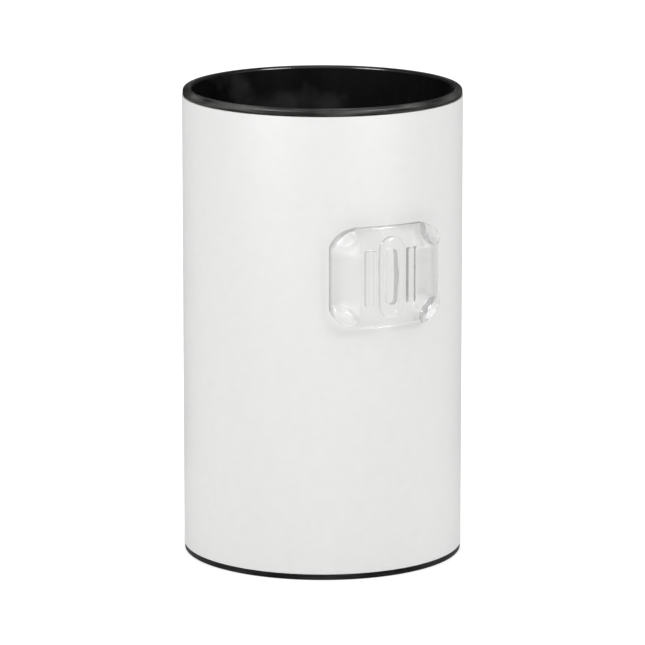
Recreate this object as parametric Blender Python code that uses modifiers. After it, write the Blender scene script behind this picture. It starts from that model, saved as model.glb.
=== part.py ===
"""Fire blanket canister: a white sleeved board tube with a black rim, liner and base, a clear
bracket bonded to its front, and a folded and rolled glass-cloth blanket with two pull tapes inside.

Metres, +Z up. The origin is the centre of the underside, on the tube's axis. The front is -Y, and an
azimuth is counted from the front towards +X. Sizes below are in millimetres, and M turns them into metres.
"""

import math

import bmesh
import bpy
from mathutils import Matrix, Vector

M = 0.001
SEGMENTS = 72
FINE = 0.00001

# Fit
SEAT_GAP = 0.3

# Canister
SLEEVE_RADIUS = 50.0
SLEEVE_WALL = 0.5
SLEEVE_SLIT = 0.6
TUBE_WALL = 1.5
LINER_WALL = 0.8
CANISTER_HEIGHT = 168.3
RIM_BAND = 2.3
RIM_INSET = 0.2
RIM_SKIRT = 16.0
RIM_OUTER_ROUND = 1.1
RIM_INNER_ROUND = 0.8
BASE_BAND = 1.8
BASE_PLUG = 8.1
BASE_LEDGE = 7.4
BASE_ROUND = 0.5
FLOOR_THICKNESS = 2.0
PAD_STANDS_PROUD = 0.1

# Clear bracket
BRACKET_AZIMUTH = 26.7
BRACKET_HEIGHT_UP = 109.0
BRACKET_WIDTH = 42.0
BRACKET_HEIGHT = 36.0
BRACKET_WALL = 2.4
BRACKET_CORNER_ACROSS = 8.4
BRACKET_CORNER_UP = 6.8
BRACKET_CORNER_BULGE = 1.5
BOND_THICKNESS = 0.6
BOND_WIDTH = 8.0
BOND_HEIGHT = 5.0
BOND_INSET = 7.0
COLLAR_WIDTH = 10.0
COLLAR_HEIGHT = 29.0
COLLAR_RISE = 1.3
SLOT_WIDTH = 4.4
SLOT_HEIGHT = 20.0
RAIL_WIDTH = 4.6
RAIL_HEIGHT = 20.0
RAIL_SPACING = 16.2
LUG_LENGTH = 13.0
LUG_WIDTH = 9.0
LUG_RISE = 2.4
LUG_INSET = 3.8

# Blanket, folded to a strip and rolled
ROLL_CLEARANCE = 5.1
ROLL_HEADROOM = 35.7
ROLL_CORE_RADIUS = 7.0
ROLL_ROUND = 2.0

# Pull tapes
TAPE_WIDTH = 20.0
TAPE_THICKNESS = 1.4
TAPE_TAIL = 35.0
OUTER_TAPE_END_GAP = 0.5
INNER_TAPE_END_GAP = 1.1

# Sizes that follow
tube_outer = SLEEVE_RADIUS - SLEEVE_WALL - SEAT_GAP
tube_inner = tube_outer - TUBE_WALL
liner_outer = tube_inner - SEAT_GAP
liner_inner = liner_outer - LINER_WALL
ring_outer = SLEEVE_RADIUS - RIM_INSET
base_bottom = PAD_STANDS_PROUD
base_top = base_bottom + BASE_BAND
sleeve_bottom = base_top + SEAT_GAP
rim_bottom = CANISTER_HEIGHT - RIM_BAND
sleeve_top = rim_bottom - SEAT_GAP
skirt_bottom = rim_bottom - RIM_SKIRT
plug_top = base_top + BASE_PLUG
ledge_inner = liner_outer - BASE_LEDGE
floor_bottom = base_top + SEAT_GAP
floor_top = floor_bottom + FLOOR_THICKNESS
floor_radius = liner_inner - SEAT_GAP
pad_top = floor_bottom - SEAT_GAP
loop_thickness = 2 * TAPE_THICKNESS
tape_bottom = CANISTER_HEIGHT - ROLL_HEADROOM - loop_thickness
roll_bottom = floor_top + SEAT_GAP
roll_top = tape_bottom - SEAT_GAP
roll_radius = liner_inner - ROLL_CLEARANCE
outer_root = -roll_radius
outer_reach = roll_radius - ROLL_CORE_RADIUS - OUTER_TAPE_END_GAP
inner_root = ROLL_CORE_RADIUS + TAPE_THICKNESS
inner_reach = roll_radius - INNER_TAPE_END_GAP - inner_root
bond_inner = SLEEVE_RADIUS + SEAT_GAP
bond_outer = bond_inner + BOND_THICKNESS
bracket_back = bond_outer + SEAT_GAP
bracket_front = bracket_back + BRACKET_WALL
bracket_middle = (bracket_back + bracket_front) / 2

BLACK_MOULDING = ("black_moulding", (0.012, 0.012, 0.013), 0.38, 0.0)
BLACK_LINER = ("black_liner", (0.006, 0.006, 0.006), 0.28, 0.0)
BOARD = ("grey_board", (0.36, 0.31, 0.25), 0.85, 0.0)
WHITE_SLEEVE = ("white_sleeve", (0.82, 0.82, 0.81), 0.5, 0.0)
FOAM = ("foam_pad", (0.03, 0.03, 0.03), 0.95, 0.0)
CLEAR = ("clear_moulding", (0.92, 0.94, 0.94), 0.06, 0.0)
BOND = ("clear_bond", (0.86, 0.87, 0.87), 0.3, 0.0)
GLASS_CLOTH = ("glass_cloth", (0.80, 0.78, 0.72), 0.8, 0.0)
WEBBING = ("webbing", (0.02, 0.02, 0.02), 0.8, 0.0)


def clear_scene():
    """Removes every object that the scene starts with."""
    for thing in list(bpy.data.objects):
        bpy.data.objects.remove(thing, do_unlink=True)


def collection(name):
    """A new collection in the scene."""
    made = bpy.data.collections.new(name)
    bpy.context.scene.collection.children.link(made)
    return made


def material(finish):
    """The Principled material of a finish, made once."""
    name, colour, roughness, metallic = finish
    if name in bpy.data.materials:
        return bpy.data.materials[name]
    made = bpy.data.materials.new(name)
    made.use_nodes = True
    shader = made.node_tree.nodes["Principled BSDF"]
    shader.inputs["Base Color"].default_value = (*colour, 1.0)
    shader.inputs["Roughness"].default_value = roughness
    shader.inputs["Metallic"].default_value = metallic
    made.diffuse_color = (*colour, 1.0)
    return made


def add_object(name, mesh, home, finish=None):
    """An object in a collection, with its material."""
    made = bpy.data.objects.new(name, mesh)
    home.objects.link(made)
    if finish:
        mesh.materials.append(material(finish))
    return made


def as_cutter(thing):
    """Marks an object as a cutter, which is no piece of the canister."""
    thing.hide_render = True
    thing.display_type = "WIRE"
    return thing


def arc(centre, radii, start, end, steps):
    """Points along an ellipse's arc, both ends included. Angles are in degrees."""
    points = []
    for step in range(steps + 1):
        angle = math.radians(start + (end - start) * step / steps)
        x = centre[0] + radii[0] * math.cos(angle)
        y = centre[1] + radii[1] * math.sin(angle)
        points.append((x, y))
    return points


def ring_section(inner, outer, bottom, top, rounds=(0, 0, 0, 0), steps=3):
    """A turned ring's section, down its outer side and up its inner one. The rounds are those of its
    top outer, bottom outer, bottom inner and top inner edge."""
    corners = (
        (outer, top, -1, -1, 90),
        (outer, bottom, -1, 1, 0),
        (inner, bottom, 1, 1, -90),
        (inner, top, 1, -1, -180),
    )
    points = []
    for (r, z, toward_r, toward_z, start), size in zip(corners, rounds):
        if not size:
            points.append((r, z))
            continue
        centre = (r + toward_r * size, z + toward_z * size)
        points += arc(centre, (size, size), start, start - 90, steps)
    return points


def turned(name, section, home, finish=None, closed=True):
    """A piece turned about Z from a section of (radius, height) points in millimetres."""
    mesh = bpy.data.meshes.new(name)
    shape = bmesh.new()
    rim = [shape.verts.new((r * M, 0, z * M)) for r, z in section]
    for first, second in zip(rim, rim[1:]):
        shape.edges.new((first, second))
    if closed:
        shape.edges.new((rim[-1], rim[0]))
    shape.to_mesh(mesh)
    shape.free()
    made = add_object(name, mesh, home, finish)
    screw = made.modifiers.new("turn", "SCREW")
    screw.axis = "Z"
    screw.steps = SEGMENTS
    screw.render_steps = SEGMENTS
    screw.use_merge_vertices = True
    screw.merge_threshold = FINE
    screw.use_smooth_shade = True
    return made


def boolean(thing, operation, tool):
    """Adds a Boolean of another object."""
    step = thing.modifiers.new(tool.name, "BOOLEAN")
    step.operation = operation
    step.solver = "EXACT"
    step.object = tool


def prism(name, outline, low, high, place, home, finish=None):
    """A flat outline in millimetres, from low to high along its local Z, set in its place."""
    curve = bpy.data.curves.new(name, "CURVE")
    curve.dimensions = "2D"
    curve.fill_mode = "BOTH"
    curve.extrude = (high - low) / 2 * M
    spline = curve.splines.new("POLY")
    spline.points.add(len(outline) - 1)
    for point, (x, y) in zip(spline.points, outline):
        point.co = (x * M, y * M, 0, 1)
    spline.use_cyclic_u = True
    drawn = bpy.data.objects.new(name + "_outline", curve)
    home.objects.link(drawn)
    bpy.context.view_layer.update()
    graph = bpy.context.evaluated_depsgraph_get()
    mesh = bpy.data.meshes.new_from_object(drawn.evaluated_get(graph))
    bpy.data.objects.remove(drawn, do_unlink=True)
    bpy.data.curves.remove(curve)
    shape = bmesh.new()
    shape.from_mesh(mesh)
    bmesh.ops.remove_doubles(shape, verts=shape.verts, dist=FINE)
    bmesh.ops.translate(shape, verts=shape.verts, vec=(0, 0, (high + low) / 2 * M))
    bmesh.ops.recalc_face_normals(shape, faces=shape.faces)
    shape.to_mesh(mesh)
    shape.free()
    mesh.materials.clear()
    made = add_object(name, mesh, home, finish)
    made.matrix_world = place
    return made


def stadium(width, height, steps=8):
    """An upright outline with half-round ends."""
    half = width / 2
    straight = height / 2 - half
    top = arc((0, straight), (half, half), 0, 180, steps)
    return top + arc((0, -straight), (half, half), 180, 360, steps)


def rectangle(width, height, radius, steps=3):
    """An outline with rounded corners."""
    points = []
    for turn, (sx, sy) in enumerate(((1, 1), (-1, 1), (-1, -1), (1, -1))):
        centre = (sx * (width / 2 - radius), sy * (height / 2 - radius))
        points += arc(centre, (radius, radius), 90 * turn, 90 * turn + 90, steps)
    return points


def bulged_corner(steps=6):
    """The bracket's upper right corner, from its right edge to its top edge: a cut that bulges out."""
    start = Vector((BRACKET_WIDTH / 2, BRACKET_HEIGHT / 2 - BRACKET_CORNER_UP))
    end = Vector((BRACKET_WIDTH / 2 - BRACKET_CORNER_ACROSS, BRACKET_HEIGHT / 2))
    along = end - start
    out = Vector((-along.y, along.x)).normalized() * -BRACKET_CORNER_BULGE
    points = []
    for step in range(steps + 1):
        share = step / steps
        lift = 4 * share * (1 - share)
        points.append(tuple(start + along * share + out * lift))
    return points


def bracket_outline():
    """The bracket's outline as its mould draws it, across and up from its centre."""
    quarter = bulged_corner()
    outline = list(quarter)
    outline += [(-x, y) for x, y in reversed(quarter)]
    outline += [(-x, -y) for x, y in quarter]
    outline += [(x, -y) for x, y in reversed(quarter)]
    return outline


def bracket_place():
    """The bracket's frame: X across it, Y up and Z straight out of the canister at its azimuth."""
    azimuth = math.radians(BRACKET_AZIMUTH)
    across = Vector((math.cos(azimuth), math.sin(azimuth), 0))
    out = Vector((math.sin(azimuth), -math.cos(azimuth), 0))
    up = Vector((0, 0, 1))
    place = Matrix((across, up, out)).transposed().to_4x4()
    place.translation = (0, 0, BRACKET_HEIGHT_UP * M)
    return place


def shell(name, inner, outer, home):
    """A tube round the canister's axis at the bracket's height, to cut to a piece or with."""
    reach = BRACKET_HEIGHT
    section = ring_section(
        inner, outer, BRACKET_HEIGHT_UP - reach, BRACKET_HEIGHT_UP + reach
    )
    return turned(name, section, home)


def corner_centres(inset_across, inset_up):
    """The four places that lie as far in from the bracket's corners."""
    x = BRACKET_WIDTH / 2 - inset_across
    y = BRACKET_HEIGHT / 2 - inset_up
    return ((x, y), (-x, y), (-x, -y), (x, -y))


def corner_lug(number, centre, cutters):
    """A long dome across one of the bracket's corners."""
    out = math.sqrt(bracket_middle**2 - centre[0] ** 2)
    lean = math.degrees(math.atan2(BRACKET_CORNER_UP, BRACKET_CORNER_ACROSS))
    sign = -1 if centre[0] * centre[1] > 0 else 1
    rise = LUG_RISE + BRACKET_WALL / 2
    shape = bmesh.new()
    bmesh.ops.create_uvsphere(shape, u_segments=20, v_segments=12, radius=1)
    bmesh.ops.scale(
        shape, verts=shape.verts, vec=(LUG_LENGTH / 2 * M, LUG_WIDTH / 2 * M, rise * M)
    )
    bmesh.ops.rotate(
        shape, verts=shape.verts, matrix=Matrix.Rotation(math.radians(sign * lean), 3, "Z")
    )
    bmesh.ops.translate(shape, verts=shape.verts, vec=(centre[0] * M, centre[1] * M, out * M))
    mesh = bpy.data.meshes.new(f"lug_{number}")
    shape.to_mesh(mesh)
    shape.free()
    lug = as_cutter(add_object(f"lug_{number}", mesh, cutters))
    lug.matrix_world = bracket_place()
    return lug


def make_bracket(home, cutters, parent):
    """The clear bracket: a curved plate with a slotted collar between two rails, and a lug at each
    corner. Its sides run straight out, as a mould draws them."""
    place = bracket_place()
    plate = shell("bracket_plate", bracket_back, bracket_front, home)
    plate.data.materials.append(material(CLEAR))
    far = bracket_front + LUG_RISE + BRACKET_WALL
    near = bracket_back / 2
    behind = as_cutter(
        turned("behind_lugs", ring_section(1, bracket_middle, 0, CANISTER_HEIGHT), cutters)
    )
    for number, centre in enumerate(corner_centres(LUG_INSET, LUG_INSET), 1):
        lug = corner_lug(number, centre, cutters)
        boolean(lug, "DIFFERENCE", behind)
        boolean(plate, "UNION", lug)
    band = as_cutter(shell("raised_band", bracket_middle, bracket_front + COLLAR_RISE, cutters))
    collar = as_cutter(
        prism("collar", stadium(COLLAR_WIDTH, COLLAR_HEIGHT), near, far, place, cutters)
    )
    rails = []
    for side in (-1, 1):
        outline = [
            (x + side * RAIL_SPACING / 2, y) for x, y in rectangle(RAIL_WIDTH, RAIL_HEIGHT, 1.0)
        ]
        name = "left_rail" if side < 0 else "right_rail"
        rails.append(as_cutter(prism(name, outline, near, far, place, cutters)))
    for raised in (collar, *rails):
        boolean(raised, "INTERSECT", band)
        boolean(plate, "UNION", raised)
    outline = as_cutter(prism("bracket_outline", bracket_outline(), near, far, place, cutters))
    slot = as_cutter(prism("slot", stadium(SLOT_WIDTH, SLOT_HEIGHT), near, far, place, cutters))
    boolean(plate, "INTERSECT", outline)
    boolean(plate, "DIFFERENCE", slot)
    plate.parent = parent
    bond_band = as_cutter(shell("bond_band", bond_inner, bond_outer, cutters))
    for number, (x, y) in enumerate(corner_centres(BOND_INSET, BOND_INSET), 1):
        outline = [(x + px, y + py) for px, py in rectangle(BOND_WIDTH, BOND_HEIGHT, 1.0)]
        pad = prism(f"bond_pad_{number}", outline, near, far, place, home, BOND)
        boolean(pad, "INTERSECT", bond_band)
        pad.parent = parent


def make_canister(home, cutters, parent):
    """The tube, its skins, its rim and its base."""
    sections = {
        "core_tube": (
            ring_section(tube_inner, tube_outer, sleeve_bottom, sleeve_top),
            BOARD,
        ),
        "inner_liner": (
            ring_section(liner_inner, liner_outer, plug_top + SEAT_GAP, skirt_bottom - SEAT_GAP),
            BLACK_LINER,
        ),
        "outer_sleeve": (
            ring_section(SLEEVE_RADIUS - SLEEVE_WALL, SLEEVE_RADIUS, sleeve_bottom, sleeve_top),
            WHITE_SLEEVE,
        ),
    }
    made = {}
    for name, (section, finish) in sections.items():
        made[name] = turned(name, section, home, finish)
    rounds = (RIM_OUTER_ROUND, 0, 0, RIM_INNER_ROUND)
    flange = ring_section(liner_inner, ring_outer, rim_bottom, CANISTER_HEIGHT, rounds, 4)
    inner_foot = flange.index((liner_inner, rim_bottom))
    skirt = [(liner_outer, rim_bottom), (liner_outer, skirt_bottom), (liner_inner, skirt_bottom)]
    rim = flange[:inner_foot] + skirt + flange[inner_foot + 1 :]
    made["rim_ring"] = turned("rim_ring", rim, home, BLACK_MOULDING)
    base = [
        (liner_outer, plug_top),
        (liner_outer, base_top),
        (ring_outer, base_top),
        *arc((ring_outer - BASE_ROUND, base_bottom + BASE_ROUND), (BASE_ROUND,) * 2, 0, -90, 3),
        (ledge_inner, base_bottom),
        (ledge_inner, base_top),
        (liner_inner, base_top),
        (liner_inner, plug_top),
    ]
    made["base_ring"] = turned("base_ring", base, home, BLACK_MOULDING)
    floor = [(0, floor_top), (floor_radius, floor_top), (floor_radius, floor_bottom)]
    floor.append((0, floor_bottom))
    made["floor_disc"] = turned("floor_disc", floor, home, BLACK_MOULDING, closed=False)
    pad_radius = ledge_inner - SEAT_GAP
    pad = [(0, pad_top), (pad_radius, pad_top), (pad_radius, 0), (0, 0)]
    made["floor_pad"] = turned("floor_pad", pad, home, FOAM, closed=False)
    half = SLEEVE_SLIT / 2
    outline = [(-half, -half), (half, -half), (half, CANISTER_HEIGHT), (-half, CANISTER_HEIGHT)]
    upright = Matrix.Rotation(math.radians(90), 4, "X")
    slit = as_cutter(
        prism("sleeve_slit", outline, -SLEEVE_RADIUS - 1, -tube_outer, upright, cutters)
    )
    boolean(made["outer_sleeve"], "DIFFERENCE", slit)
    for piece in made.values():
        piece.parent = parent


def make_tail(name, inner, azimuth, home, cutters, parent):
    """A tape's sewn end, which follows the roll's round face below its top edge."""
    bottom = roll_top - TAPE_TAIL
    section = ring_section(inner, inner + TAPE_THICKNESS, bottom, roll_top)
    tail = turned(name, section, home, WEBBING)
    middle = inner + TAPE_THICKNESS / 2
    half_turn = min(TAPE_WIDTH / middle, math.pi) / 2
    reach = (inner + TAPE_THICKNESS) * 2
    outline = [(0, 0)]
    for share in (-1, -0.5, 0, 0.5, 1):
        turn = share * half_turn
        outline.append((reach * math.cos(turn), reach * math.sin(turn)))
    place = Matrix.Rotation(math.radians(azimuth), 4, "Z")
    window = as_cutter(
        prism(f"{name}_window", outline, bottom - 1, roll_top + 1, place, cutters)
    )
    boolean(tail, "INTERSECT", window)
    tail.parent = parent


def make_pull_tape(name, root, reach, home, parent):
    """A tape's free end: a flat loop that lies on the roll and turns up about its root."""
    half = loop_thickness / 2
    outline = [(0, 0), (reach - half, 0)]
    outline += arc((reach - half, half), (half, half), -90, 90, 6)[1:]
    outline.append((0, loop_thickness))
    upright = Matrix.Rotation(math.radians(90), 4, "X")
    tape = prism(name, outline, -TAPE_WIDTH / 2, TAPE_WIDTH / 2, upright, home, WEBBING)
    tape.parent = parent
    tape.location = (root * M, 0, tape_bottom * M)


def make_blanket(home, cutters, parent):
    """The rolled blanket, with a tape at each end of its top edge."""
    rounds = (ROLL_ROUND,) * 4
    section = ring_section(ROLL_CORE_RADIUS, roll_radius, roll_bottom, roll_top, rounds)
    roll = turned("blanket_roll", section, home, GLASS_CLOTH)
    roll.parent = parent
    outer_tail = roll_radius + SEAT_GAP
    inner_tail = ROLL_CORE_RADIUS - SEAT_GAP - TAPE_THICKNESS
    make_tail("outer_tape_tail", outer_tail, 180, home, cutters, parent)
    make_tail("inner_tape_tail", inner_tail, 0, home, cutters, parent)
    make_pull_tape("outer_pull_tape", outer_root, outer_reach, home, parent)
    make_pull_tape("inner_pull_tape", inner_root, inner_reach, home, parent)


def main():
    clear_scene()
    home = collection("fire_blanket_canister")
    cutters = collection("cutters")
    frames = {}
    for name in ("canister_frame", "blanket_frame"):
        frames[name] = bpy.data.objects.new(name, None)
        home.objects.link(frames[name])
    make_canister(home, cutters, frames["canister_frame"])
    make_bracket(home, cutters, frames["canister_frame"])
    make_blanket(home, cutters, frames["blanket_frame"])


main()
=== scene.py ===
"""Looks of the fire blanket canister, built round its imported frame. Metres, with +Z up and the
front towards -Y."""

import math

import bmesh
import bpy
from bpy.props import FloatProperty, FloatVectorProperty, IntProperty, PointerProperty
from mathutils import Matrix, Vector, noise


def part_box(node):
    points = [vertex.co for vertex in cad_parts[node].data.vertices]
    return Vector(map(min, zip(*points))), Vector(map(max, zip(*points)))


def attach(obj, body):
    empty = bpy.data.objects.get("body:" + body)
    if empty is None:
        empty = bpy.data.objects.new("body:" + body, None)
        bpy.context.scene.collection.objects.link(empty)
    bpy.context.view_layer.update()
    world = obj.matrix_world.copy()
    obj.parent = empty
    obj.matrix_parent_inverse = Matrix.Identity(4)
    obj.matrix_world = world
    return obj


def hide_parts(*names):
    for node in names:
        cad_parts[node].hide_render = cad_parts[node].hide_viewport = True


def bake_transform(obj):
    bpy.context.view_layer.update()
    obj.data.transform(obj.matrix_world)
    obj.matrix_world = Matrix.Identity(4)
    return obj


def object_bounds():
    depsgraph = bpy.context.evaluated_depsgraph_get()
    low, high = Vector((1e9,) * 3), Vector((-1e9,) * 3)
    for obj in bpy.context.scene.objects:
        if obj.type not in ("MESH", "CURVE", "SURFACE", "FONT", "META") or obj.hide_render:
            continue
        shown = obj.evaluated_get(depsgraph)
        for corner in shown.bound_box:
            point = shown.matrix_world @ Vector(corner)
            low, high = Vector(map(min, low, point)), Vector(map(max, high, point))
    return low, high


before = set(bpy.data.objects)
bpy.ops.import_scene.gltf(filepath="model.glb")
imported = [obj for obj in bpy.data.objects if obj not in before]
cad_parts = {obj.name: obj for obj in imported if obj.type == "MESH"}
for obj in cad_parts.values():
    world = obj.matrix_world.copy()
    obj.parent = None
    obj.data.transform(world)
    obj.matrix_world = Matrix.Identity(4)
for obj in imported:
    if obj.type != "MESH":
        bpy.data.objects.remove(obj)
cad_low, cad_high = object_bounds()

bl_info = {
    "name": "Fire blanket canister",
    "version": (1, 0, 0),
    "blender": (4, 5, 0),
    "location": "3D View > Sidebar > Canister",
    "description": "Builds the canister, its clear bracket and the rolled blanket inside it",
    "category": "Add Mesh",
}

MM = 0.001
WELD = 0.000001
FULL_TURN = 2 * math.pi

# Edges sharper than these aren't smoothed
SHARP = math.radians(32)
TAPE_SHARP = math.radians(50)
MOULD_SHARP = math.radians(60)

# The sleeve's lap: the length of its slope, its gap, and its thickness as a share of the wall
LAP_RAMP = 4 * MM
LAP_GAP = 0.02 * MM
LAP_THINNED = 0.6

# From one turn of the board's spiral to the next
BOARD_LEAD = 70 * MM

# The bracket: its mesh, the widths of its soft steps, and where the painted edge shade counts half
RAY_SPACING = 0.32 * MM
FRONT_LOOPS = 120
BACK_LOOPS = 24
RELIEF_STEP = 0.5 * MM
RAIL_END = 0.6 * MM
LUG_DIMPLE = 0.5 * MM
LUG_FLANK = 0.7
SLOT_MARGIN = 0.3 * MM

# The roll: how loosely it lies, and a seed so that it drifts the same way each time
ROLL_SEED = 1
ROLL_MARGIN = 0.35 * MM
TURN_GAP = 0.16 * MM
DRIFT = 0.45 * MM
DRIFT_FADE = 3 * MM
TOP_RIPPLE = 0.9 * MM
FOOT_RIPPLE = 0.4 * MM
HEM_DROP = 2.4 * MM
HEM_THICKNESS = 0.28 * MM
HEM_GAP = 0.03 * MM

# The tapes
TAPE_BEND = 2 * MM
LOOP_SPREAD = 1.02
LOOP_BACK = 1.6 * MM
SEAM_MARGIN = 2.2 * MM

# The lights: name, place, side in metres, watts, and whether it lights more than gloss
LIT_SPOT = Vector((0, 0, 0.09))
LIGHTS = (
    ("key", (-1.3, -1.0, 1.15), 0.6, 8.9, True),
    ("fill", (1.3, -1.0, 1.15), 0.6, 8.2, True),
    ("back", (0.3, 1.3, 1.7), 1.2, 6.0, True),
    ("top", (0.0, 0.2, 2.4), 3.0, 18.0, True),
    ("left_sparkle", (-1.15, -1.15, 1.1), 0.75, 30.0, False),
    ("right_sparkle", (1.15, -1.15, 1.1), 0.75, 30.0, False),
)
FLOOR_GAP = 0.02 * MM


# Sizes and colours that a user would change


def length(name, description, default):
    """A length property."""
    return FloatProperty(
        name=name, description=description, default=default, min=0, unit="LENGTH", precision=5
    )


def angle(name, description, degrees):
    """An angle property."""
    return FloatProperty(
        name=name, description=description, default=math.radians(degrees), unit="ROTATION"
    )


def colour(name, description, default):
    """A colour property."""
    return FloatVectorProperty(
        name=name, description=description, default=default, min=0, max=1, subtype="COLOR"
    )


def share(name, description, default, most=1.0):
    """A property that is a plain number."""
    return FloatProperty(name=name, description=description, default=default, min=0, max=most)


class CanisterSettings(bpy.types.PropertyGroup):
    """The tube, its skins, its rim and its base."""

    segments: IntProperty(name="Segments", description="Faces round a turned piece", default=256)
    sleeve_wall: length("Sleeve wall", "Thickness of the white sleeve", 0.5 * MM)
    overlap: length("Overlap", "How far the sleeve laps over itself at the back", 9 * MM)
    liner_wall: length("Liner wall", "Thickness of the black liner", 0.8 * MM)
    rim_band: length("Rim band", "Height of the rim above the tube", 2.3 * MM)
    rim_round: length("Rim round", "Round of the rim's outer edge", 1.1 * MM)
    lip_round: length("Lip round", "Round of the rim's inner edge", 0.8 * MM)
    under_round: length("Under round", "Round under the rim's outer edge", 0.3 * MM)
    base_band: length("Base band", "Height of the base ring below the sleeve", 1.8 * MM)
    base_round: length("Base round", "Round of the base ring's lower edge", 0.3 * MM)
    base_ledge: length("Base ledge", "Width of the ledge that the floor lies on", 7.4 * MM)
    floor_edge: length("Floor edge", "Steps of the floor disc's edge", 0.5 * MM)
    floor_border: length("Floor border", "Width of the floor disc's low border", 5 * MM)
    sleeve_colour: colour("Sleeve colour", "Coated paper of the sleeve", (0.80, 0.80, 0.795))
    moulding_colour: colour("Moulding colour", "Rim and base", (0.0125, 0.0125, 0.012))
    liner_colour: colour("Liner colour", "Liner inside the tube", (0.0042, 0.0042, 0.0048))


class BracketSettings(bpy.types.PropertyGroup):
    """The clear bracket on the front."""

    azimuth: angle("Azimuth", "Place round the tube, from the front towards +X", 26.7)
    width: length("Width", "Width across the bracket", 42 * MM)
    height: length("Height", "Height of the bracket", 36 * MM)
    wall: length("Wall", "Thickness of the plate", 2.4 * MM)
    corner_across: length("Corner across", "Width of each cut corner", 8.4 * MM)
    corner_up: length("Corner up", "Height of each cut corner", 6.8 * MM)
    corner_bulge: length("Corner bulge", "How far a cut corner bulges", 1.5 * MM)
    edge_round: length("Edge round", "Round of the front edge", 0.85 * MM)
    slot_width: length("Slot width", "Width of the upright slot", 4.4 * MM)
    slot_height: length("Slot height", "Height of the upright slot", 20 * MM)
    slot_lip: length("Slot lip", "Round of the slot's edge", 0.4 * MM)
    collar_width: length("Collar width", "Width of the collar round the slot", 10 * MM)
    collar_height: length("Collar height", "Height of the collar round the slot", 29 * MM)
    rise: length("Rise", "Height of the collar and rails above the plate", 1.3 * MM)
    rail_width: length("Rail width", "Width of each rail", 4.6 * MM)
    rail_height: length("Rail height", "Height of each rail", 20 * MM)
    rail_spacing: length("Rail spacing", "From rail to rail", 16.2 * MM)
    lug_length: length("Lug length", "Length of a corner lug", 13 * MM)
    lug_width: length("Lug width", "Width of a corner lug", 9 * MM)
    lug_rise: length("Lug rise", "Height of a corner lug above the plate", 2.4 * MM)
    lug_inset: length("Lug inset", "From the plate's sides to a lug's middle", 3.8 * MM)
    clearness: share("Clearness", "Refractive index of the clear moulding", 1.49, 3.0)


class BlanketSettings(bpy.types.PropertyGroup):
    """The folded and rolled blanket with its pull tapes."""

    side: length("Side", "Side of the square blanket before it is folded", 1000 * MM)
    layers: IntProperty(name="Layers", description="Layers that it is folded into", default=8)
    cloth: length("Cloth", "Thickness of the glass cloth", 0.43 * MM)
    layer_pitch: length("Layer pitch", "From layer to layer", 0.545 * MM)
    end_angle: angle("End angle", "Where the roll's outer end lies, from +X", 215)
    hem: length("Hem", "Width of the sewn hem", 11 * MM)
    tape_width: length("Tape width", "Width of the webbing", 20 * MM)
    tape_thickness: length("Tape thickness", "Thickness of the webbing", 1.4 * MM)
    stitch: length("Stitch", "Length of one stitch", 2.6 * MM)
    stitch_gap: length("Stitch gap", "From stitch to stitch", 1.2 * MM)
    cloth_colour: colour("Cloth colour", "Woven glass cloth", (0.76, 0.74, 0.67))
    tape_colour: colour("Tape colour", "Webbing", (0.018, 0.018, 0.020))
    thread_colour: colour("Thread colour", "Sewing thread", (0.62, 0.60, 0.55))


class StageSettings(bpy.types.PropertyGroup):
    """The floor, the lights and the camera."""

    distance: length("Distance", "From the canister's axis to the camera", 1730.3 * MM)
    camera_height: length("Camera height", "Height of the camera above the floor", 450.8 * MM)
    pitch: angle("Pitch", "How far the camera looks down", 12.016)
    lens: share("Lens", "Focal length in millimetres", 274.76, 500.0)
    floor_radius: length("Floor radius", "Radius of the round floor", 9.0)
    floor_colour: colour("Floor colour", "Pale floor", (0.93, 0.93, 0.925))
    floor_glow: share("Floor glow", "How bright the lit floor looks", 0.62, 5.0)
    floor_light: share("Floor light", "Light that the floor throws on the canister", 0.42, 5.0)
    band_radius: length("Band radius", "From the axis to the black band", 125 * MM)
    band_height: length("Band height", "Height of the black band", 400 * MM)
    surround: share("Surround", "Strength of the white surroundings", 0.55, 5.0)
    band_sweep: angle("Band sweep", "How far the band reaches round each side of the back", 75)


# Meshes


def shares(steps, first=1):
    """The shares of a whole that lie behind its steps, up to 1."""
    return [step / steps for step in range(first, steps + 1)]


def held(part):
    """A share held between 0 and 1."""
    return min(1.0, max(0.0, part))


def eased(part):
    """A share held between 0 and 1, with a soft start and end."""
    return held(part) ** 2 * (3 - 2 * held(part))


def linked(name, shape, finish):
    """An object of the scene, made from its bmesh."""
    mesh = bpy.data.meshes.new(name)
    shape.to_mesh(mesh)
    shape.free()
    mesh.materials.append(finish)
    made = bpy.data.objects.new(name, mesh)
    bpy.context.scene.collection.objects.link(made)
    return made


def hand_over(name, shape, node, body, finish, sharp=SHARP):
    """Makes the finished piece from its bmesh, hides the frame's part that it stands for, and hangs
    it on its body.
    """
    piece = linked(name, shape, finish)
    piece.data.shade_smooth()
    piece.data.set_sharp_from_angle(angle=sharp)
    if node:
        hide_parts(node)
    if body:
        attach(piece, body)
    return piece


def arc(centre, radius, start, end, steps):
    """Points of a round edge, both ends included. Angles are in degrees."""
    turns = [math.radians(start + (end - start) * part) for part in shares(steps, 0)]
    return [(centre[0] + radius * math.cos(t), centre[1] + radius * math.sin(t)) for t in turns]


def ring_section(inner, outer, bottom, top, rounds=(0, 0, 0, 0), steps=6):
    """A ring's section, down its outer side and up its inner one. The rounds are those of its top
    outer, bottom outer, bottom inner and top inner edge."""
    corners = (
        (outer, top, -1, -1, 90),
        (outer, bottom, -1, 1, 0),
        (inner, bottom, 1, 1, -90),
        (inner, top, 1, -1, -180),
    )
    points = []
    for (r, z, toward_r, toward_z, start), size in zip(corners, rounds):
        if size:
            centre = (r + toward_r * size, z + toward_z * size)
            points += arc(centre, size, start, start - 90, steps)
        else:
            points.append((r, z))
    return points


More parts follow.
